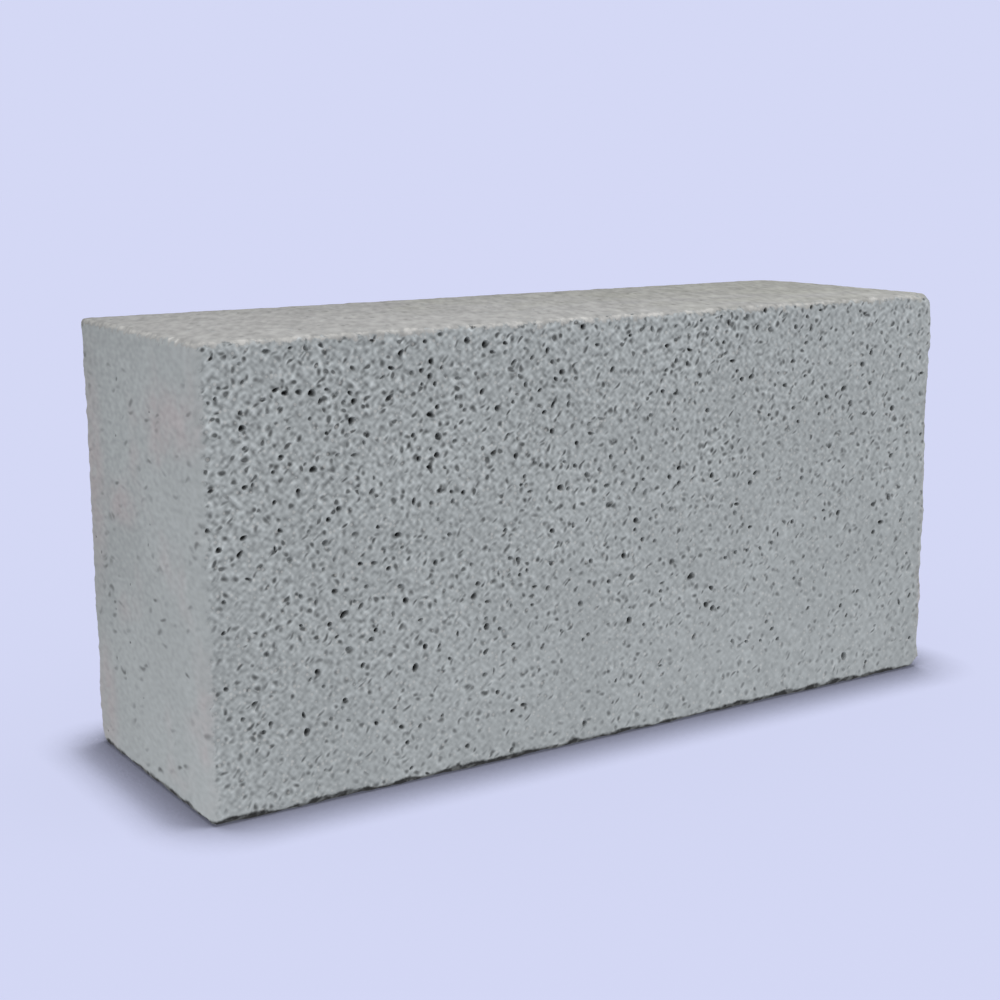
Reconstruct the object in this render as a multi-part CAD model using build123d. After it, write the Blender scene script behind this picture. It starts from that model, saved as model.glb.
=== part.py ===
"""A solid dense-aggregate concrete block, standing on the bed face that it is laid on.

The block is one moulded piece with six flat faces and no frog, core or cell.
X runs along its length, Y through its thickness and Z up its height.
The origin is at the middle of the bed face.
"""
import os

from build123d import *

# Work sizes, in millimetres.
LENGTH = 440.0
THICKNESS = 140.0
HEIGHT = 215.0

# The arrises, in millimetres: the four upright corners that the mould box gives, the
# rubbed edge round the struck top face, and the edge round the bed that leaves the pallet.
CORNER_RADIUS = 4.5
TOP_ARRIS_RADIUS = 4.0
BED_ARRIS_RADIUS = 3.0


def outline_face(part, top):
    """The flat face at the top or at the bed of the part."""
    faces = part.faces().filter_by(Axis.Z).sort_by(Axis.Z)
    return faces[-1] if top else faces[0]


def make_block():
    """The moulded block with its rounded corners and arrises."""
    with BuildPart() as block:
        with BuildSketch():
            RectangleRounded(LENGTH, THICKNESS, CORNER_RADIUS)
        extrude(amount=HEIGHT)
        fillet(outline_face(block, top=True).edges(), TOP_ARRIS_RADIUS)
        fillet(outline_face(block, top=False).edges(), BED_ARRIS_RADIUS)
    return block.part


os.makedirs("parts", exist_ok=True)
export_step(make_block(), "parts/block.step")
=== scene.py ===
import math
import random

import bmesh
import bpy
import numpy as np
from mathutils import Euler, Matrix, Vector, noise
from mathutils.geometry import delaunay_2d_cdt


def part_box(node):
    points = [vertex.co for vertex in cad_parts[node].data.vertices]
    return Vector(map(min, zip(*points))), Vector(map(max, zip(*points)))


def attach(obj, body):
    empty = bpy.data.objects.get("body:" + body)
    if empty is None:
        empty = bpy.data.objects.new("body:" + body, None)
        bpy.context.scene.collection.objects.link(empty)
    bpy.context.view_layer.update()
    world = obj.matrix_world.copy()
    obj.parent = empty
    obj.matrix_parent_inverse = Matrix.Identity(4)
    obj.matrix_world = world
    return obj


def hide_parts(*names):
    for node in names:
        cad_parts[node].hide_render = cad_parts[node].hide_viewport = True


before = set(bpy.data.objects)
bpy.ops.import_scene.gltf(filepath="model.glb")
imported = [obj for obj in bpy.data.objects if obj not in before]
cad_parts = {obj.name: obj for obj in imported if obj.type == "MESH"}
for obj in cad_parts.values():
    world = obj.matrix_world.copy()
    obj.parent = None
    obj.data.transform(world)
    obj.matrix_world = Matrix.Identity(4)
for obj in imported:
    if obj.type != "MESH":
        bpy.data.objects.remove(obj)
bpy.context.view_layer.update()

# Lengths on the block are in millimetres, and become metres when the mesh is made.
MM = 0.001
BOX_LOW, BOX_HIGH = (np.array(corner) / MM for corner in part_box("block"))
LENGTH, THICKNESS, HEIGHT = BOX_HIGH - BOX_LOW

# The faces: the long ones and the bed are open and pitted, the ends and the top closer.
FRONT, BACK, LEFT, RIGHT, TOP, BED = "front", "back", "left", "right", "top", "bed"

# Spacing of the mesh: along the arrises, on the rows beside them, and on the flat faces.
ARRIS_STEP = 1.25
ARRIS_ROWS = ((1.0, 1.3), (2.1, 1.35), (3.4, 1.7), (5.0, 2.2), (7.2, 2.9))
FACE_STEP = 4.1

# Edges that turn by more than this stay sharp in the shading.
SHARP_TURN = math.radians(40)

# The worn arrises: their usual radius, and the most and least that wear makes of it.
ARRIS_RADIUS = 3.0
ARRIS_LEAST, ARRIS_MOST = 1.4, 7.5

# How far in from an arris its wear reaches.
WEAR_REACH = 8.0

# Chips at random on every arris, and long ones round the bed: how many, how far they keep from the ends
# of an arris, and the least and most of their radius and depth. The small ones have their depth as a
# share of the radius, and may be deeper on the upright arrises.
CHIP_COUNT, LONG_CHIP_COUNT = 110, 34
CHIP_END_GAP, LONG_CHIP_END_GAP = 5, 8
CHIP_RADIUS, LONG_CHIP_RADIUS = (2.2, 6.5), (8, 22)
CHIP_DEPTH, UPRIGHT_CHIP_DEPTH, LONG_CHIP_DEPTH = (0.15, 0.26), (0.15, 0.38), (0.6, 1.8)

# The voids at random: the least and most of a face's usual size, and the way most of them lean.
PIT_LEAST, PIT_MOST = 0.82, 1.45
PIT_LEAN = math.radians(40)

# Voids keep this much further from the ends of a face, and get shallower this near to any arris.
PIT_END_GAP = 2.0
PIT_SHALLOW_EDGE = 7.0

# How many bulges go round the outline of a void, and the most that each kind adds.
PIT_BULGES = ((2, 0.12), (3, 0.11))

# Side of the squares that voids are sorted into, so that near ones are found quickly.
PIT_SQUARE = 4.0


class Face:
    """One flat face of the block, measured from a corner of it along u and then v."""

    def __init__(self, name, corner, u, v):
        self.name = name
        self.corner, self.u, self.v = np.array(corner), np.array(u, float), np.array(v, float)
        self.width = abs(self.u @ (BOX_HIGH - BOX_LOW))
        self.height = abs(self.v @ (BOX_HIGH - BOX_LOW))

    def place(self, flat):
        """Points of the block for an array of (u, v) points."""
        return self.corner + flat[:, :1] * self.u + flat[:, 1:] * self.v


def block_faces():
    """The six faces, each with u along it and v up it, so that u x v points outwards."""
    (x0, y0, z0), (x1, y1, z1) = BOX_LOW, BOX_HIGH
    return [
        Face(FRONT, (x0, y0, z0), (1, 0, 0), (0, 0, 1)),
        Face(BACK, (x1, y1, z0), (-1, 0, 0), (0, 0, 1)),
        Face(LEFT, (x0, y1, z0), (0, -1, 0), (0, 0, 1)),
        Face(RIGHT, (x1, y0, z0), (0, 1, 0), (0, 0, 1)),
        Face(TOP, (x0, y0, z1), (1, 0, 0), (0, 1, 0)),
        Face(BED, (x0, y1, z0), (1, 0, 0), (0, -1, 0)),
    ]


def ripple(points, wavelength, seed=0.0):
    """Smooth noise from -1 to 1 at each point, with bumps about a wavelength apart."""
    return np.array([noise.noise(Vector(p) / wavelength + Vector((seed, seed, seed))) for p in points])


# Pits

class Pit:
    """An open void in a face: its middle, size, lean, the darkness of the shade painted inside it, depth
    and the bulges of its outline.
    """

    def __init__(self, u, v, radius, stretch, lean, dark, depth, lobes):
        self.u, self.v, self.depth, self.dark = u, v, depth, dark
        self.long, self.short = radius * math.sqrt(stretch), radius / math.sqrt(stretch)
        self.lean, self.lobes = lean, lobes
        self.reach = 1.5 * self.long

    def ring(self, scale, count, jitter, draw):
        """Points round the void, at a share of its size."""
        points = []
        for i in range(count):
            angle = 2 * math.pi * (i + draw.uniform(-0.1, 0.1)) / count
            size = scale * (1 + draw.uniform(-jitter, jitter))
            size *= 1 + sum(share * math.cos(k * angle + turn) for k, share, turn in self.lobes)
            along, across = self.long * size * math.cos(angle), self.short * size * math.sin(angle)
            points.append((self.u + along * math.cos(self.lean) - across * math.sin(self.lean),
                           self.v + along * math.sin(self.lean) + across * math.cos(self.lean)))
        return points


class Squares:
    """The pits of a face, sorted into squares so that those near a point are found quickly."""

    def __init__(self):
        self.all, self.squares = [], {}

    def keep(self, pit):
        square = int(pit.u // PIT_SQUARE), int(pit.v // PIT_SQUARE)
        self.squares.setdefault(square, []).append(pit)
        self.all.append(pit)

    def near(self, u, v):
        """The pits in the nine squares round a point."""
        i, j = int(u // PIT_SQUARE), int(v // PIT_SQUARE)
        return [pit for a in (-1, 0, 1) for b in (-1, 0, 1) for pit in self.squares.get((i + a, j + b), ())]


def scatter_pits(face, count, share, size, deepest, draw, fixed=()):
    """Pits at random on a face, none touching: share(u, v) from 0 to 1 thins them out."""
    pits = Squares()

    def lobes():
        """The bulges that keep an outline from being round."""
        return [(k, draw.uniform(0.0, most), draw.uniform(0, 2 * math.pi)) for k, most in PIT_BULGES]

    for u, v, radius, dark in fixed:
        stretch, lean = draw.uniform(1.0, 1.35), draw.uniform(0, math.pi)
        pits.keep(Pit(u, v, radius, stretch, lean, dark, deepest * radius, lobes()))
    tries = 0
    while len(pits.all) < count and tries < 60 * count:
        tries += 1
        radius = size * min(max(math.exp(draw.gauss(0, 0.2)), PIT_LEAST), PIT_MOST)
        # How dark the void is painted inside, as shade: darker in the larger ones.
        dark = min(1.0, (0.4 + 0.6 * radius / size) * draw.uniform(0.32, 1.08))
        stretch = 1 + 1.2 * draw.random() ** 2 * min(1.0, size / radius)
        margin = 1.2 + 1.4 * radius * math.sqrt(stretch)
        u = draw.uniform(margin + PIT_END_GAP, face.width - margin - PIT_END_GAP)
        v = draw.uniform(margin, face.height - margin)
        lean = draw.gauss(PIT_LEAN, 0.6)
        from_edge = min(u, v, face.width - u, face.height - v)
        depth = radius * deepest * (0.3 + 0.7 * dark) * draw.uniform(0.8, 1.2)
        depth *= min(1.0, from_edge / PIT_SHALLOW_EDGE)
        if draw.random() > share(u, v):
            continue
        pit = Pit(u, v, radius, stretch, lean, dark, depth, lobes())
        if all(math.hypot(u - o.u, v - o.v) > pit.reach + o.reach + 0.3 for o in pits.near(u, v)):
            pits.keep(pit)
    return pits


# Rings round a pit, from its soft rim inwards: (share of its size, of its depth, of the darkness painted
# inside it as shade, jitter).
WIDE_PIT = ((1.42, 0.0, 0.0, 0.05), (0.95, 0.3, 0.58, 0.05), (0.54, 0.8, 1.0, 0.08))
SMALL_PIT = ((1.4, 0.0, 0.0, 0.05), (0.75, 0.5, 0.85, 0.06))


# Mesh of one face

def even_steps(length, step):
    """Distances from 0 to length, evenly spaced, the same from either end."""
    count = max(1, round(length / step))
    return [length * i / count for i in range(count)]


def walk_round(face, inset, step, jitter, draw):
    """Points at even steps round the face, a fixed way in from its edges."""
    wide, high = face.width - 2 * inset, face.height - 2 * inset
    along, up = even_steps(wide, step), even_steps(high, step)
    loop = [(s, 0) for s in along] + [(wide, s) for s in up]
    loop += [(wide - s, high) for s in along] + [(0, high - s) for s in up]

    def shaken(distance):
        return inset + distance + draw.uniform(-jitter, jitter)

    return [(shaken(u), shaken(v)) for u, v in loop]


def fill_points(face, draw):
    """Points over the middle of a face, on a shaken triangular grid."""
    start = ARRIS_ROWS[-1][0] + 0.8 * FACE_STEP
    row_step = FACE_STEP * 0.866
    rows = round((face.height - 2 * start) / row_step)
    columns = round((face.width - 2 * start) / FACE_STEP)
    shake = 0.22 * FACE_STEP
    points = []
    for row in range(rows + 1):
        for column in range(columns + 1 - row % 2):
            u = start + (column + 0.5 * (row % 2)) * (face.width - 2 * start) / columns
            v = start + row * (face.height - 2 * start) / rows
            points.append((u + draw.uniform(-shake, shake), v + draw.uniform(-shake, shake)))
    return points


def mesh_face(face, pits, draw):
    """Triangles over a face, with rings of points in every pit: (points, depths, painted shade of the
    voids, triangles).
    """
    flat = walk_round(face, 0.0, ARRIS_STEP, 0.0, draw)
    border = len(flat)
    edges = [(i, (i + 1) % border) for i in range(border)]
    depth, pit_shade = [0.0] * border, [0.0] * border

    for pit in pits.all:
        count = 8 if pit.long < 0.8 else 10 if pit.long < 1.3 else 12
        rings = WIDE_PIT if pit.long > 0.8 else SMALL_PIT
        for scale, sunk, dark, jitter in rings:
            first = len(flat)
            flat += pit.ring(scale, count, jitter, draw)
            depth += [sunk * pit.depth * draw.uniform(0.9, 1.1) for _ in range(count)]
            # Painted shade inside the void, darkest towards its middle.
            pit_shade += [dark * pit.dark] * count
            if sunk == 0.0:
                edges += [(first + i, first + (i + 1) % count) for i in range(count)]
        flat.append((pit.u, pit.v))
        depth.append(pit.depth)
        pit_shade.append(pit.dark)

    def is_clear(u, v):
        """Whether a point stays out of every pit and off its rim."""
        return all(math.hypot(u - pit.u, v - pit.v) >= pit.reach + 0.4 for pit in pits.near(u, v))

    loose = fill_points(face, draw)
    for inset, step in ARRIS_ROWS:
        loose += walk_round(face, inset, step, 0.2, draw)
    loose = [p for p in loose if is_clear(*p)]
    flat += loose
    depth += [0.0] * len(loose)
    pit_shade += [0.0] * len(loose)

    points, _, triangles, sources, _, _ = delaunay_2d_cdt([Vector(p) for p in flat], edges, [], 0, 1e-5)
    order = [source[0] for source in sources]
    return face.place(np.array(points)), np.array(depth)[order], np.array(pit_shade)[order], triangles


# Wear of the whole block

# Places where the arris is rubbed rounder than elsewhere: (point, reach, added radius).
RUBBED = (
    ((BOX_HIGH[0], BOX_LOW[1], BOX_HIGH[2]), 11.0, 4.5),
    ((BOX_HIGH[0], BOX_LOW[1], BOX_HIGH[2] - 62), 30.0, 2.2),
    ((BOX_HIGH[0], BOX_HIGH[1], BOX_HIGH[2]), 16.0, 5.0),
    ((BOX_LOW[0], BOX_LOW[1], BOX_HIGH[2]), 9.0, 1.5),
)

# Places where an arris is knocked off: (point, way out, radius of the scoop, depth).
KNOCKED_OFF = (
    ((BOX_HIGH[0], BOX_LOW[1], BOX_HIGH[2] - 24), (1, -1, 0), 7.0, 1.5),
    ((BOX_HIGH[0], BOX_LOW[1], BOX_LOW[2] + 17), (1, -1, 0), 17.0, 2.3),
    ((BOX_HIGH[0], BOX_LOW[1], BOX_LOW[2]), (1, -1, -1), 30.0, 4.9),
    ((BOX_LOW[0], BOX_LOW[1], BOX_LOW[2]), (-1, -1, -1), 12.0, 2.6),
    ((BOX_LOW[0], BOX_HIGH[1], BOX_LOW[2]), (-1, 1, -1), 20.0, 3.6),
    ((BOX_LOW[0] + 37, BOX_HIGH[1], BOX_HIGH[2]), (0, 1, 1), 9.0, 1.3),
)


def arris_radius(points):
    """How far the arris near each point is rubbed round."""
    radius = ARRIS_RADIUS + 1.6 * ripple(points, 17.0, 3.1) + 1.2 * ripple(points, 6.0, 8.4)
    for place, reach, added in RUBBED:
        away = np.linalg.norm(points - np.array(place), axis=1)
        radius += added * np.exp(-(away / reach) ** 2)
    return np.clip(radius, ARRIS_LEAST, ARRIS_MOST)


def round_off(points):
    """The points moved onto the block with rounded arrises, and the way out from each."""
    radius = arris_radius(points)[:, None]
    inner = np.clip(points, BOX_LOW + radius, BOX_HIGH - radius)
    out = points - inner
    out /= np.linalg.norm(out, axis=1)[:, None]
    return inner + radius * out, out


def edge_nearness(points):
    """1 on an upright arris and less on the others, falling to 0 where their wear ends."""
    gaps = np.minimum(points - BOX_LOW, BOX_HIGH - points)
    upright = np.clip(1 - gaps[:, :2].max(axis=1) / WEAR_REACH, 0, 1)
    level = np.clip(1 - np.maximum(gaps[:, :2].min(axis=1), gaps[:, 2]) / WEAR_REACH, 0, 1)
    return np.maximum(upright ** 1.5, 0.42 * level ** 1.5)


def wear(points):
    """How far wear and the mould's unevenness set each point back."""
    broad = 0.16 + 0.16 * ripple(points, 46.0, 1.7) + 0.09 * ripple(points, 13.0, 5.2)
    crumbs = 1.15 * np.abs(ripple(points, 10.0, 6.1)) + 0.95 * np.abs(ripple(points, 4.6, 9.0))
    crumbs += 0.5 * np.abs(ripple(points, 2.2, 2.6))
    return np.maximum(broad, 0.0) + edge_nearness(points) * crumbs


def chips(draw):
    """The knocks named above, small ones at random on every arris, and long ones round the bed."""
    scoops = list(KNOCKED_OFF)
    for _ in range(CHIP_COUNT):
        axis = draw.choice((0, 0, 0, 1, 2))
        ends = [draw.choice((0, 1)) for _ in range(3)]
        point = [BOX_LOW[i] if ends[i] == 0 else BOX_HIGH[i] for i in range(3)]
        point[axis] = draw.uniform(BOX_LOW[axis] + CHIP_END_GAP, BOX_HIGH[axis] - CHIP_END_GAP)
        out = [0 if i == axis else 2 * ends[i] - 1 for i in range(3)]
        radius = draw.uniform(*CHIP_RADIUS)
        depth = radius * draw.uniform(*(UPRIGHT_CHIP_DEPTH if axis == 2 else CHIP_DEPTH))
        scoops.append((point, out, radius, depth))
    for _ in range(LONG_CHIP_COUNT):
        axis = draw.choice((0, 0, 1))
        side = 1 - axis
        low = draw.random() < 0.5
        low_x, low_y = BOX_LOW[:2] + LONG_CHIP_END_GAP
        high_x, high_y = BOX_HIGH[:2] - LONG_CHIP_END_GAP
        point = [draw.uniform(low_x, high_x), draw.uniform(low_y, high_y), BOX_LOW[2]]
        point[side] = BOX_LOW[side] if low else BOX_HIGH[side]
        out = [0, 0, -1]
        out[side] = -1 if low else 1
        scoops.append((point, out, draw.uniform(*LONG_CHIP_RADIUS), draw.uniform(*LONG_CHIP_DEPTH)))
    return scoops


def knock_off(points, scoops):
    """Points inside a scoop pushed back onto it."""
    for where, out, radius, depth in scoops:
        out = np.array(out, float) / np.linalg.norm(out)
        middle = np.array(where, float) + out * (radius - depth)
        close = np.linalg.norm(points - middle, axis=1) < radius * 1.2
        if not close.any():
            continue
        ways = points[close] - middle
        far = np.linalg.norm(ways, axis=1)
        rough = radius + 0.35 * ripple(points[close], 2.4, 4.4)
        points[close] = middle + ways * (np.maximum(far, rough) / far)[:, None]
    return points


# The block

# Larger voids of the front face, placed as in the photograph: (u, v, radius, darkness of the shade painted
# inside).
LANDMARK_PITS = (
    (200, 210, 1.23, 1.0), (115, 199, 1.19, 1.0), (73, 188, 0.97, 0.8), (110, 189, 0.79, 0.8),
    (118, 178, 1.06, 0.9), (61, 171, 0.79, 0.8), (21, 151, 1.06, 0.9), (3, 134, 0.97, 0.8),
    (37, 130, 0.97, 0.8), (161, 151, 1.14, 1.0), (217, 145, 0.97, 0.7), (182, 112, 1.14, 0.9),
    (233, 111, 1.28, 1.0), (116, 105, 1.14, 0.9), (254, 131, 1.06, 0.9), (249, 175, 0.97, 0.9),
    (386, 179, 1.23, 0.9), (410, 103, 1.41, 0.8), (283, 69, 1.14, 0.9), (284, 58, 1.23, 0.9),
    (67, 47, 1.06, 0.9), (60, 84, 0.97, 0.9), (83, 33, 0.88, 0.8), (150, 36, 0.97, 0.8),
    (330, 34, 0.97, 0.7), (380, 16, 1.67, 0.55), (320, 157, 0.88, 0.8), (278, 163, 1.06, 0.7),
    (184, 186, 0.97, 0.9), (155, 205, 0.88, 0.9), (337, 202, 1.06, 0.8), (345, 207, 0.88, 0.7),
    (292, 84, 0.88, 0.5), (299, 86, 0.97, 0.6), (307, 86, 0.88, 0.5), (316, 86, 0.88, 0.5),
    (324, 88, 0.88, 0.4), (298, 38, 0.88, 0.5), (308, 36, 0.88, 0.4), (318, 35, 0.79, 0.5),
)


def pit_sets():
    """The pits of each face, each from its own seed."""
    faces = {face.name: face for face in block_faces()}

    def front_share(u, v):
        """More voids towards the top and the left, and many close under the lip."""
        high, along = v / HEIGHT, u / LENGTH
        crowd = 0.8 + 0.3 * noise.noise(Vector((u / 28, v / 28, 1.0)))
        below_lip = 0.8 if high > 0.96 else 0.0
        fade = 1 - 0.68 * min(max((along - 0.35) / 0.4, 0.0), 1.0)
        return (0.18 + 0.82 * high ** 1.5 + below_lip) * fade * crowd

    def even_share(u, v):
        """Voids spread evenly, in loose crowds."""
        return 0.7 + 0.6 * noise.noise(Vector((u / 26, v / 26, 7.0)))

    sets = {
        FRONT: scatter_pits(faces[FRONT], 385, front_share, 1.0, 2.2, random.Random(11), LANDMARK_PITS),
        BACK: scatter_pits(faces[BACK], 450, even_share, 0.98, 2.2, random.Random(12)),
        LEFT: scatter_pits(faces[LEFT], 14, even_share, 0.70, 0.8, random.Random(13)),
        RIGHT: scatter_pits(faces[RIGHT], 16, even_share, 0.75, 0.8, random.Random(14)),
        TOP: scatter_pits(faces[TOP], 60, even_share, 0.8, 0.7, random.Random(15)),
        BED: scatter_pits(faces[BED], 260, even_share, 0.95, 2.0, random.Random(16)),
    }
    return [(face, sets[name]) for name, face in faces.items()]


def make_block():
    """The whole block as one closed mesh, with the painted shade of the voids at each point kept for the
    material.
    """
    draw = random.Random(5)
    places, sunk, pit_shade, triangles, seen = [], [], [], [], {}
    for face, pits in pit_sets():
        points, depths, shades_in_pits, faces = mesh_face(face, pits, draw)
        # Points on an arris are shared with the next face, so each is kept once.
        numbers = []
        for point, depth, dark in zip(points, depths, shades_in_pits):
            key = tuple(np.round(point, 2))
            if key not in seen:
                seen[key] = len(places)
                places.append(point)
                sunk.append(depth)
                pit_shade.append(dark)
            numbers.append(seen[key])
        triangles += [[numbers[i] for i in triangle] for triangle in faces]

    points, out = round_off(np.array(places))
    points -= out * (wear(points) + np.array(sunk))[:, None]
    points = knock_off(points, chips(random.Random(6)))
    points = np.clip(points, BOX_LOW, BOX_HIGH)

    mesh = bpy.data.meshes.new("block_concrete")
    mesh.from_pydata((points * MM).tolist(), [], triangles)
    mesh.attributes.new("pit_shade", "FLOAT", "POINT").data.foreach_set("value", pit_shade)
    work = bmesh.new()
    work.from_mesh(mesh)
    bmesh.ops.recalc_face_normals(work, faces=work.faces)
    for face in work.faces:
        face.smooth = True
    for edge in work.edges:
        edge.smooth = edge.calc_face_angle(0.0) < SHARP_TURN
    work.to_mesh(mesh)
    work.free()
    block = bpy.data.objects.new("block_concrete", mesh)
    bpy.context.collection.objects.link(block)
    return block


# Materials

class Nodes:
    """Adds nodes to a node tree and joins them up."""

    def __init__(self, tree):
        self.tree = tree
        tree.nodes.clear()

    def add(self, kind, inputs=None, **settings):
        """A node of that kind, with its settings, and with values or sockets for its inputs."""
        node = self.tree.nodes.new(kind)
        for name, value in settings.items():
            setattr(node, name, value)
        for name, value in (inputs or {}).items():
            self.feed(node.inputs[name], value)
        return node

    def feed(self, socket, value):
        """A socket takes either another node's output or a plain value."""
        if isinstance(value, bpy.types.NodeSocket):
            self.tree.links.new(value, socket)
        else:
            socket.default_value = value

    def math(self, operation, a, b=0.0):
        return self.add("ShaderNodeMath", {0: a, 1: b}, operation=operation).outputs[0]

    def times(self, a, b):
        return self.math("MULTIPLY", a, b)

    def plus(self, a, b):
        return self.math("ADD", a, b)

    def step(self, value, low, high, to_low=0.0, to_high=1.0):
        """A smooth rise from to_low to to_high as the value goes from low to high."""
        inputs = {"Value": value, "From Min": low, "From Max": high, "To Min": to_low, "To Max": to_high}
        return self.add("ShaderNodeMapRange", inputs, interpolation_type="SMOOTHSTEP").outputs["Result"]

    def blend(self, factor, a, b):
        """Colour a where the factor is 0 and b where it is 1."""
        node = self.add("ShaderNodeMix", data_type="RGBA", blend_type="MIX")
        for name, value in (("Factor_Float", factor), ("A_Color", a), ("B_Color", b)):
            self.feed(next(s for s in node.inputs if s.identifier == name), value)
        return next(s for s in node.outputs if s.identifier == "Result_Color")

    def scale(self, colour, factor):
        """A colour made lighter or darker."""
        return self.add("ShaderNodeVectorMath", {0: colour, "Scale": factor}, operation="SCALE").outputs[0]

    def noise(self, place, wavelength, detail=2.0, roughness=0.5):
        """Noise round 0.5 with bumps about a wavelength of millimetres apart."""
        inputs = {"Vector": place, "Scale": 1 / wavelength, "Detail": detail, "Roughness": roughness}
        return self.add("ShaderNodeTexNoise", inputs, noise_dimensions="3D").outputs["Fac"]


CONCRETE = (0.310, 0.331, 0.341, 1.0)
# The smooth ends: a pale smooth finish, and partly painted light, lighter to make up for the soft light
# that reaches the long faces but not the ends.
SMOOTH_END_AND_PAINTED_LIGHT = (0.338, 0.360, 0.369, 1.0)
STRUCK_TOP = (0.295, 0.294, 0.290, 1.0)
OLIVE = (0.282, 0.284, 0.258, 1.0)
PINKISH = (0.370, 0.352, 0.362, 1.0)
TAN = (0.300, 0.290, 0.278, 1.0)
# Painted shade down the right front arris.
RIGHT_ARRIS_SHADE = (0.215, 0.208, 0.200, 1.0)
# Pale crumbs on the lip, partly a painted highlight.
CRUMB_AND_HIGHLIGHT = (0.450, 0.446, 0.432, 1.0)
GRANULE = (0.56, 0.55, 0.54, 1.0)
# Painted shade where the bed arris turns under towards the floor.
BED_SHADE = (0.016, 0.016, 0.017, 1.0)
# Painted shade inside the voids.
VOID_SHADE = (0.010, 0.011, 0.012, 1.0)

# Turns in degrees: the grain of the long faces either way, the smears on the ends, and the marks that
# striking off left slantwise on the top.
GRAIN_TURN = 42
SMEAR_TURN = -8
STRIKE_TURN = -28

# The mottle in the cement: its wavelengths where the concrete is open and where it is close, how strong
# it is, and its share of that on the smooth ends.
OPEN_WAVELENGTH, CLOSE_WAVELENGTH = 2.3, 3.3
MOTTLE = 0.74
MOTTLE_ON_ENDS = 0.22

# Soft grey marks of each kind: (how far apart, radius, how rare the dark ones are, how dark they get).
ROUND_MARKS = (4.2, 1.7, 2.9, 0.86)
LEANING_MARKS = (4.6, 1.2, 2.9, 0.86)
SMEARED_MARKS = (4.6, 1.5, 2.0, 0.66)
STRUCK_MARKS = (7.0, 1.5, 2.5, 0.3)
PALE_RIM = 0.2

# Pinkish clouds on the left end: (y, z, half-width, half-height).
PINK_STAINS = ((60, 142, 14, 52), (-42, 178, 32, 15), (26, 130, 20, 10), (58, 26, 14, 30))


class Surface:
    """Where each point lies on the block, and masks from 0 to 1 of the regions of its surface."""

    def __init__(self, n):
        metres = n.add("ShaderNodeTexCoord").outputs["Object"]
        place = n.add("ShaderNodeVectorMath", {0: metres, "Scale": 1 / MM}, operation="SCALE").outputs[0]
        x, y, z = n.add("ShaderNodeSeparateXYZ", {0: place}).outputs
        uneven = n.plus(n.noise(place, 4.0, 3.0, 0.65), -0.5)
        from_end = n.math("SUBTRACT", LENGTH / 2, n.math("ABSOLUTE", x))
        from_side = n.math("SUBTRACT", THICKNESS / 2, n.math("ABSOLUTE", y))
        from_top = n.math("SUBTRACT", HEIGHT, z)
        nearer = n.math("MINIMUM", from_end, from_side)
        further = n.math("MAXIMUM", from_end, from_side)
        from_level = n.math("MINIMUM", further, n.math("MINIMUM", z, from_top))
        from_arris = n.math("MAXIMUM", nearer, from_level)
        self.place, self.x, self.y, self.z, self.uneven = place, x, y, z, uneven
        self.from_end, self.from_top, self.nearer = from_end, from_top, nearer

        # The struck top wraps unevenly over its arrises, and so do the smooth ends.
        self.on_top = n.step(n.plus(from_top, n.times(uneven, 12.0)), 3.2, 1.4)
        self.on_end = n.step(n.plus(from_end, n.times(uneven, 9.0)), 4.2, 1.4)
        self.off_top = n.math("SUBTRACT", 1.0, self.on_top)
        self.coarse = n.math("SUBTRACT", 1.0, n.math("MAXIMUM", self.on_top, self.on_end))

        # Arrises that are worn, and the ragged lip round the top, which comes and goes; the lip is painted
        # pale, partly as crumbs and partly as a painted highlight.
        self.worn = n.step(n.plus(from_arris, n.times(uneven, 7.0)), 3.2, 0.6)
        lip = n.step(n.plus(n.math("MAXIMUM", from_top, nearer), n.times(uneven, 7.0)), 2.8, 0.8)
        self.lip = n.times(lip, n.step(n.noise(place, 4.5, 1.0), 0.36, 0.6, 0.2, 1.0))

        # How far towards the back, and how close the concrete is: most of all at the bottom right.
        self.backward = n.times(y, 2 / THICKNESS)
        self.close = n.plus(n.times(x, 0.55 / LENGTH), n.times(z, -0.45 / HEIGHT))
        openness = n.plus(n.times(x, -0.45 / LENGTH), n.times(z, 0.65 / HEIGHT))
        patches = n.step(n.noise(place, 30.0, 1.0), 0.35, 0.65, 0.9, 1.1)
        self.busy = n.times(patches, n.step(openness, -0.2, 0.9, 0.6, 1.3))


def turned(n, pattern, degrees, scale, about=2):
    """A pattern turned about an axis and drawn out: 0 is the x axis, 1 the y and 2 the z."""
    turn = [math.radians(degrees) if axis == about else 0.0 for axis in range(3)]
    inputs = {"Vector": pattern, "Rotation": turn, "Scale": scale}
    return n.add("ShaderNodeMapping", inputs, vector_type="TEXTURE").outputs[0]


def crooked(n, flat, wavelength, most):
    """A flat pattern shifted about a little, so that its marks don't come out round."""
    inputs = {"Vector": flat, "Scale": 1 / wavelength, "Detail": 0.0}
    shift = n.add("ShaderNodeTexNoise", inputs, noise_dimensions="2D").outputs["Color"]
    inputs = {0: shift, 1: (most, most, 0.0), 2: flat}
    return n.add("ShaderNodeVectorMath", inputs, operation="MULTIPLY_ADD").outputs[0]


def sandy_mottle(n, s):
    """Noise round 0, drawn out both ways across the long faces and along the thickness of the ends."""
    rising = turned(n, s.place, -GRAIN_TURN, (1.4, 1.9, 0.84), about=1)
    falling = turned(n, s.place, GRAIN_TURN, (1.3, 1.9, 0.84), about=1)
    fine = n.plus(n.noise(rising, OPEN_WAVELENGTH, 0.0), n.noise(falling, OPEN_WAVELENGTH, 0.0))
    wide = n.plus(n.noise(rising, CLOSE_WAVELENGTH, 0.0), n.noise(falling, CLOSE_WAVELENGTH, 0.0))
    to_wide = n.step(s.close, -0.45, 0.35, 0.0, 0.85)
    return n.plus(n.plus(fine, n.times(n.math("SUBTRACT", wide, fine), to_wide)), -1.0)


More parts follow.
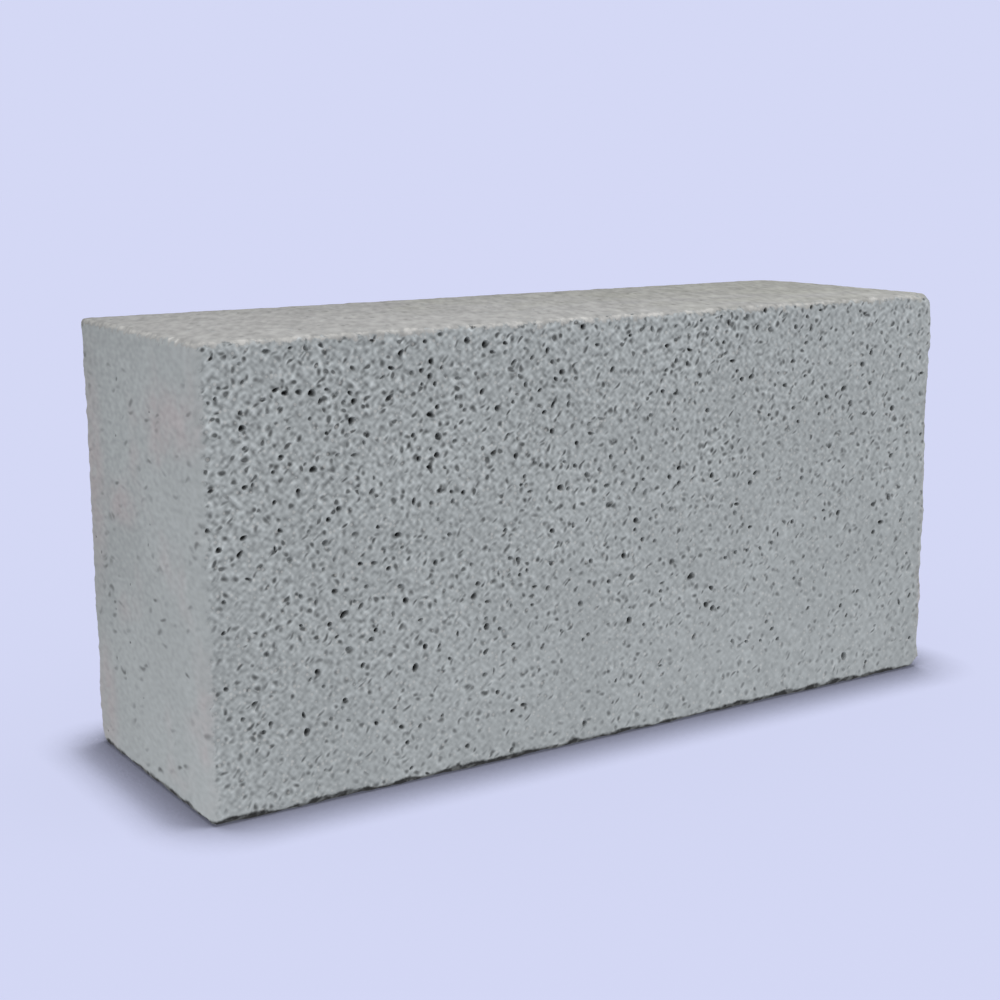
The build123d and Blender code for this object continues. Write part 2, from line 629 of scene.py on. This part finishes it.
def cement_tone(n, s, struck, mottle):
    """How light the cement is, round 1: broad clouds, a slow fall across each face, and the mottle."""
    cloud = n.plus(n.noise(s.place, 60.0, 2.0), n.times(n.noise(s.place, 12.0, 2.0), 0.3))
    clouds = n.times(n.step(cloud, 0.35, 0.95, 0.955, 1.045), n.plus(1.0, n.times(s.backward, -0.05)))
    clouds = n.times(clouds, n.step(s.close, -0.7, 0.25, 0.975, 1.035))

    high = n.plus(n.times(s.z, 2 / HEIGHT), -1.0)
    end_shade = n.times(n.plus(n.times(s.backward, -0.045), n.times(high, -0.04)), s.on_end)
    top_shade = n.times(n.plus(n.times(s.backward, -0.075), n.times(s.x, -0.06 / LENGTH)), s.on_top)
    clouds = n.times(clouds, n.plus(1.0, n.plus(end_shade, top_shade)))

    soft = n.times(n.plus(n.noise(s.place, 9.0, 1.0), -0.5), n.times(s.off_top, 0.06))
    soft = n.plus(soft, n.times(n.plus(n.noise(struck, 8.0, 1.0), -0.5), n.times(s.on_top, 0.42)))
    strength = n.times(n.times(s.busy, n.step(s.coarse, 0.0, 1.0, MOTTLE_ON_ENDS, 1.0)), s.off_top)
    streaks = n.plus(n.noise(struck, 3.6, 1.0, 0.5), -0.5)
    spread = n.plus(n.times(n.times(mottle, MOTTLE), strength), n.times(streaks, n.times(s.on_top, 0.64)))
    return n.times(clouds, n.plus(n.plus(1.0, soft), spread))


def pink_stain(n, s, where):
    """A faint pinkish cloud on the left end, round a place (y, z) with its half-sizes."""
    y, z, wide, high = where
    across = n.times(n.plus(s.y, -y), 1 / wide)
    up = n.times(n.plus(s.z, -z), 1 / high)
    away = n.math("SQRT", n.plus(n.times(across, across), n.times(up, up)))
    return n.times(n.step(away, 1.5, 0.2), n.step(s.x, 0.0, -1.0))


def end_colour(n, s):
    """The smooth ends, painted lighter than the long faces partly as a pale smooth finish and partly as
    painted light, with pinkish clouds.
    """
    pink = n.step(n.noise(s.place, 34.0, 1.5), 0.50, 0.80)
    for where in PINK_STAINS:
        pink = n.math("MAXIMUM", pink, pink_stain(n, s, where))
    pink = n.times(pink, n.step(n.noise(s.place, 11.0, 2.0), 0.3, 0.6, 0.45, 1.0))
    return n.blend(pink, SMOOTH_END_AND_PAINTED_LIGHT, PINKISH)


def top_colour(n, s):
    """The struck top, olive towards the right, and with painted shade along its far arris."""
    olive = n.plus(n.times(s.backward, 0.3), n.times(s.x, 1.2 / LENGTH))
    olive = n.plus(olive, n.times(n.noise(s.place, 26.0, 1.0), 1.6))
    colour = n.blend(n.step(olive, 0.5, 1.5, 0.0, 0.75), STRUCK_TOP, OLIVE)
    # Painted shade along the far arris, where it turns away from the light.
    far_arris_shade = n.times(n.step(s.y, THICKNESS / 2 - 8.0, THICKNESS / 2 - 3.0), 0.26)
    return n.scale(colour, n.math("SUBTRACT", 1.0, far_arris_shade))


def cement_colour(n, s):
    """The colour of each region: long faces, ends, dusty arrises, painted shade down the right front arris,
    top, and pale lip that is partly a painted highlight.
    """
    colour = n.blend(s.on_end, CONCRETE, end_colour(n, s))

    corner = (LENGTH + THICKNESS) / 2
    dusty = n.step(n.noise(s.place, 24.0, 2.0), 0.38, 0.62, 0.0, 0.45)
    dusty = n.times(dusty, n.step(n.plus(s.x, s.y), 45.0 - corner, 110.0 - corner))
    colour = n.blend(n.times(s.worn, dusty), colour, TAN)

    # Painted shade down the right front arris, where it turns away from the light, darker in patches.
    to_corner = n.plus(n.math("SUBTRACT", s.x, s.y), n.times(s.uneven, 14.0))
    turned_arris_shade = n.step(to_corner, corner - 6.5, corner - 2.0)
    turned_arris_shade = n.times(turned_arris_shade, n.step(n.noise(s.place, 14.0, 2.0), 0.38, 0.62, 0.1, 0.6))
    colour = n.blend(turned_arris_shade, colour, RIGHT_ARRIS_SHADE)

    colour = n.blend(s.on_top, colour, top_colour(n, s))
    # The pale lip: pale crumbs, and partly a painted highlight along the top arrises.
    return n.blend(n.times(s.lip, 0.85), colour, CRUMB_AND_HIGHLIGHT)


def marks(n, pattern, kind, where):
    """Soft marks on a pattern, one in each cell: how dark they make it, their pale rims, their dents."""
    spacing, radius, rarity, most = kind
    inputs = {"Vector": pattern, "Scale": 1 / spacing, "Randomness": 1.0}
    node = n.add("ShaderNodeTexVoronoi", inputs, voronoi_dimensions="2D")
    away = n.times(node.outputs["Distance"], spacing / radius)
    chance = n.add("ShaderNodeSeparateColor", {"Color": node.outputs["Color"]}).outputs["Blue"]
    strength = n.times(n.math("POWER", chance, rarity), most)
    mark = n.step(away, 1.2, 0.1)
    rim = n.times(n.step(away, 2.1, 1.0), n.math("SUBTRACT", 1.0, mark))
    here = n.times(strength, where)
    return n.times(mark, here), n.times(rim, here), n.times(mark, strength)


def all_marks(n, s, struck):
    """Marks on the long faces, smears on the ends and a few marks on the top: (shade, dents)."""
    flat = n.add("ShaderNodeCombineXYZ", {0: s.x, 1: n.plus(s.y, s.z)}).outputs[0]
    flat = crooked(n, flat, 5.5, 2.6)
    leaning = turned(n, flat, GRAIN_TURN, (1.9, 0.85, 1.0))
    on_long_faces = n.times(s.busy, s.coarse)
    round_dark, round_rim, round_dents = marks(n, flat, ROUND_MARKS, on_long_faces)
    lean_dark, lean_rim, lean_dents = marks(n, leaning, LEANING_MARKS, on_long_faces)

    on_ends = n.add("ShaderNodeCombineXYZ", {0: s.y, 1: s.z}).outputs[0]
    longer_on_left = n.step(s.x, -1.0, 1.0, 2.7, 1.5)
    drawn_out = n.add("ShaderNodeCombineXYZ", {0: longer_on_left, 1: 1.0, 2: 1.0}).outputs[0]
    smeared = turned(n, crooked(n, on_ends, 9.0, 4.5), SMEAR_TURN, drawn_out)
    in_clusters = n.times(s.on_end, n.step(n.noise(s.place, 24.0), 0.45, 0.62, 0.08, 1.0))
    smears = marks(n, smeared, SMEARED_MARKS, in_clusters)[0]
    scrapes = marks(n, struck, STRUCK_MARKS, s.on_top)[0]

    dark = n.plus(n.plus(round_dark, lean_dark), n.plus(smears, scrapes))
    pale = n.times(n.plus(round_rim, lean_rim), PALE_RIM)
    shade = n.plus(1.0, n.math("SUBTRACT", pale, dark))
    return n.math("MAXIMUM", shade, 0.3), n.plus(round_dents, lean_dents)


def granules(n, s):
    """Pale grains in the cement, one in some of the cells, most of them on the long faces."""
    inputs = {"Vector": s.place, "Scale": 1 / 2.2, "Randomness": 1.0}
    node = n.add("ShaderNodeTexVoronoi", inputs, voronoi_dimensions="3D")
    chance = n.add("ShaderNodeSeparateColor", {"Color": node.outputs["Color"]}).outputs["Red"]
    radius = n.step(chance, 0.35, 1.0, 0.05, 0.38)
    grain = n.step(n.math("SUBTRACT", radius, node.outputs["Distance"]), -0.048, 0.112)
    where = n.plus(n.times(s.coarse, 0.5), n.plus(n.times(s.worn, 0.15), n.times(s.lip, 0.3)))
    return n.times(grain, where)


def painted_bed_shade(n, s):
    """Painted shade: the dark ragged line where the bed arris turns under."""
    under = n.math("MAXIMUM", s.z, n.plus(s.nearer, -1.0))
    under = n.plus(n.plus(under, n.times(s.uneven, 2.5)), n.times(n.noise(s.place, 13.0, 1.0), 5.5))
    return n.times(n.step(under, 6.3, 4.7), n.step(n.noise(s.place, 5.0), 0.35, 0.55, 0.72, 0.98))


def concrete():
    """Grey concrete: sandy mottle, grey marks, small voids, a struck top and crumbling arrises."""
    material = bpy.data.materials.new("concrete_grey")
    material.use_nodes = True
    n = Nodes(material.node_tree)
    s = Surface(n)
    struck = turned(n, s.place, STRIKE_TURN, (1.0, 3.2, 1.0))
    mottle = sandy_mottle(n, s)
    shade, dents = all_marks(n, s, struck)

    colour = n.scale(cement_colour(n, s), n.times(cement_tone(n, s, struck, mottle), shade))
    colour = n.blend(n.times(granules(n, s), 0.6), colour, GRANULE)
    # Painted shade along the bottom arrises, where they turn under towards the floor.
    colour = n.blend(painted_bed_shade(n, s), colour, BED_SHADE)
    # Painted shade inside the voids: the colour goes almost black where the mesh marks a point deep in one.
    pit_shade = n.add("ShaderNodeAttribute", attribute_name="pit_shade").outputs["Fac"]
    colour = n.blend(n.times(pit_shade, 0.97), colour, VOID_SHADE)

    # Relief too fine for the mesh, on the open faces.
    relief = n.plus(mottle, n.times(n.noise(s.place, 0.6, 1.0), 0.2))
    open_face = n.step(n.math("MINIMUM", s.from_top, s.from_end), 0.0, 3.0, 0.15, 1.0)
    relief = n.times(n.math("SUBTRACT", relief, dents), open_face)
    bump = n.add("ShaderNodeBump", {"Strength": 0.6, "Distance": 0.5 * MM, "Height": relief}).outputs[0]
    roughness = n.step(mottle, -0.4, 0.4, 0.97, 0.86)

    surface = n.add("ShaderNodeBsdfPrincipled", {
        "Base Color": colour, "Roughness": roughness, "Specular IOR Level": 0.3, "Normal": bump})
    n.add("ShaderNodeOutputMaterial", {"Surface": surface.outputs[0]})
    return material


# Floor, light and camera

FLOOR_RADIUS = 12.0
FLOOR_COLOUR = (0.537, 0.561, 0.748, 1.0)
FLOOR_BOUNCE = (0.75, 0.76, 0.79, 1.0)
SKY_COLOUR = (1.0, 1.0, 1.0, 1.0)
SKY_STRENGTH = 1.1
BEHIND_COLOUR = (0.658, 0.687, 0.913, 1.0)
EVEN_SHARE = 0.86

# The shadow close round the block, and more of it beside the left end: reach in metres, and darkest tone.
CONTACT_REACH, CONTACT_DARK = 0.036, 0.21
SIDE_REACH, SIDE_DARK = 0.022, 0.68
SIDE_WAY = (0.8, -0.5, 0.35)

# The soft light: its strength, how wide it looks from the block, and the way it shines.
SUN_STRENGTH = 0.5
SUN_WIDTH = math.radians(50)
SUN_WAY = (-0.75, 0.45, -1.1)


def make_floor():
    """A wide plain pale floor, part of the stage: it looks lavender, and lights the block almost white."""
    bpy.ops.mesh.primitive_circle_add(vertices=96, radius=FLOOR_RADIUS, fill_type="NGON")
    floor = bpy.context.object
    floor.name = "floor"
    material = bpy.data.materials.new("floor_pale")
    material.use_nodes = True
    n = Nodes(material.node_tree)
    contact = n.add("ShaderNodeAmbientOcclusion", {"Distance": CONTACT_REACH}, samples=4).outputs["AO"]
    side_way = n.add("ShaderNodeCombineXYZ", dict(enumerate(SIDE_WAY))).outputs[0]
    beside = {"Distance": SIDE_REACH, "Normal": side_way}
    beside = n.add("ShaderNodeAmbientOcclusion", beside, samples=4).outputs["AO"]
    rim = n.times(n.step(contact, 0.5, 1.0, CONTACT_DARK, 1.0), n.step(beside, 0.4, 0.95, SIDE_DARK, 1.0))
    shaded = n.add("ShaderNodeBsdfDiffuse", {"Color": n.scale(FLOOR_COLOUR[:3], rim)})
    even = n.add("ShaderNodeEmission", {"Color": n.scale(BEHIND_COLOUR[:3], rim)})
    looks = n.add("ShaderNodeMixShader", {0: EVEN_SHARE, 1: shaded.outputs[0], 2: even.outputs[0]})
    bounce = n.add("ShaderNodeEmission", {"Color": FLOOR_BOUNCE})
    seen = n.add("ShaderNodeLightPath").outputs["Is Camera Ray"]
    surface = n.add("ShaderNodeMixShader", {0: seen, 1: bounce.outputs[0], 2: looks.outputs[0]})
    n.add("ShaderNodeOutputMaterial", {"Surface": surface.outputs[0]})
    floor.data.materials.append(material)


def make_light():
    """An even pale sky and one very soft light from above, in front and to the right."""
    world = bpy.data.worlds.new("sky")
    bpy.context.scene.world = world
    world.use_nodes = True
    n = Nodes(world.node_tree)
    sky = n.add("ShaderNodeBackground", {"Color": SKY_COLOUR, "Strength": SKY_STRENGTH})
    behind = n.add("ShaderNodeBackground", {"Color": BEHIND_COLOUR, "Strength": 1.0})
    to_camera = n.add("ShaderNodeLightPath").outputs["Is Camera Ray"]
    mix = n.add("ShaderNodeMixShader", {0: to_camera, 1: sky.outputs[0], 2: behind.outputs[0]})
    n.add("ShaderNodeOutputWorld", {"Surface": mix.outputs[0]})

    sun = bpy.data.lights.new("soft_light", "SUN")
    sun.energy = SUN_STRENGTH
    sun.angle = SUN_WIDTH
    lamp = bpy.data.objects.new("soft_light", sun)
    lamp.rotation_euler = Vector(SUN_WAY).to_track_quat("-Z", "Y").to_euler()
    bpy.context.collection.objects.link(lamp)


# The view that fits the seven corners of the block in the photograph, in millimetres, degrees and pixels.
CAMERA_PLACE = (-500.1, -735.4, 290.3)
CAMERA_TURN = -32.98
CAMERA_DIP = 11.37
CAMERA_ROLL = -0.28
FOCAL_PIXELS = 1709.0
IMAGE_PIXELS = 1000.0
SENSOR_WIDTH = 36.0


def make_camera():
    camera = bpy.data.cameras.new("camera")
    camera.sensor_width = SENSOR_WIDTH
    camera.lens = FOCAL_PIXELS / IMAGE_PIXELS * SENSOR_WIDTH
    camera.clip_start = 0.01
    camera.clip_end = 100.0
    viewer = bpy.data.objects.new("camera", camera)
    viewer.location = Vector(CAMERA_PLACE) * MM
    turn = Euler((math.radians(90 - CAMERA_DIP), 0, math.radians(CAMERA_TURN))).to_matrix()
    viewer.rotation_euler = (turn @ Euler((0, 0, math.radians(CAMERA_ROLL))).to_matrix()).to_euler()
    bpy.context.collection.objects.link(viewer)
    bpy.context.scene.camera = viewer


make_camera()
make_floor()
make_light()
bpy.context.scene.view_settings.view_transform = "Standard"

block = make_block()
block.data.materials.append(concrete())
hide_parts("block")
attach(block, "root")
print("block_concrete:", len(block.data.polygons), "triangles")

bpy.context.view_layer.update()
